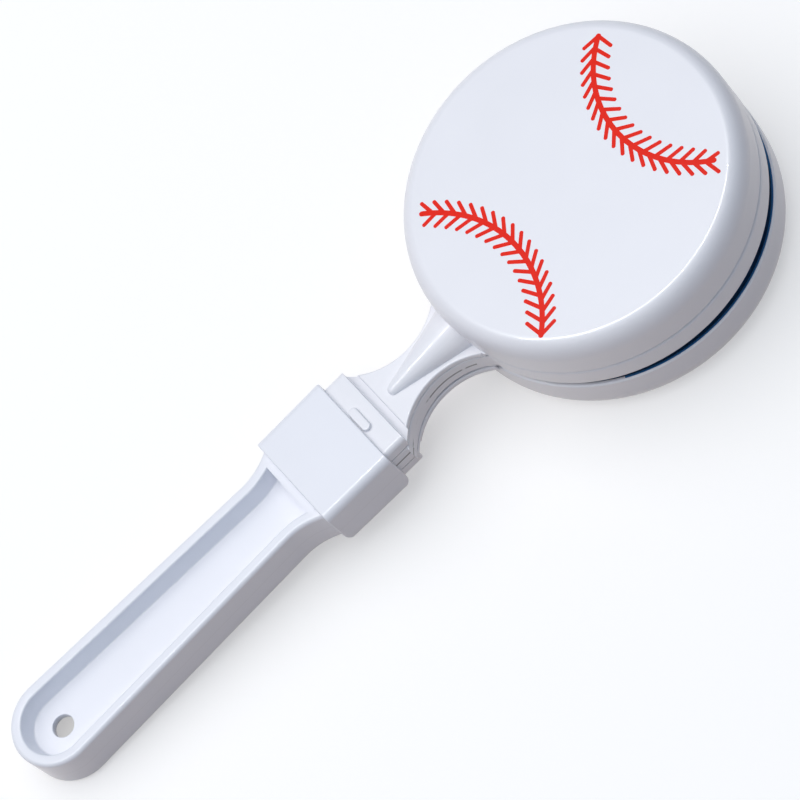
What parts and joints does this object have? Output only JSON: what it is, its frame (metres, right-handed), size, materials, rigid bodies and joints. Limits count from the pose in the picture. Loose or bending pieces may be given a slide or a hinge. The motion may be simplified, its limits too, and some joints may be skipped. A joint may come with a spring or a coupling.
{
  "type": "hand clapper",
  "caption": "Plastic hand clapper with a flat middle disc, two domed outer discs on moulded hinges, and a channelled handle.",
  "frame": {"origin": "under the middle of the bounding box, at the height of its lowest point", "axes": "+X from the handle to the discs, +Y across, +Z out of the printed face; the clapper lies flat"},
  "size_m": [0.1864, 0.07, 0.0297],
  "materials": {
    "handle_plastic": "glossy cool white",
    "leaf_plastic": "glossy cool white"
  },
  "bodies": {
    "grip": {"handle": "handle_plastic", "middle_clapper": "leaf_plastic", "front_root": "leaf_plastic", "front_hinge_web": "leaf_plastic", "back_root": "leaf_plastic", "back_hinge_web": "leaf_plastic"},
    "front_leaf": {"front_clapper": "leaf_plastic"},
    "back_leaf": {"back_clapper": "leaf_plastic"}
  },
  "joints": [
    {"name": "front_hinge", "type": "hinge", "parent": "grip", "child": "front_leaf", "pos_m": [0.0029, 0, 0.01909], "axis": [0, -1, 0], "range_deg": [0, 60], "stiffness_Nm_per_rad": 0.2, "deforming": ["front_hinge_web"]},
    {"name": "back_hinge", "type": "hinge", "parent": "grip", "child": "back_leaf", "pos_m": [0.0029, 0, 0.01359], "axis": [0, 1, 0], "range_deg": [-1.94, 60], "stiffness_Nm_per_rad": 0.2, "deforming": ["back_hinge_web"]}
  ]
}
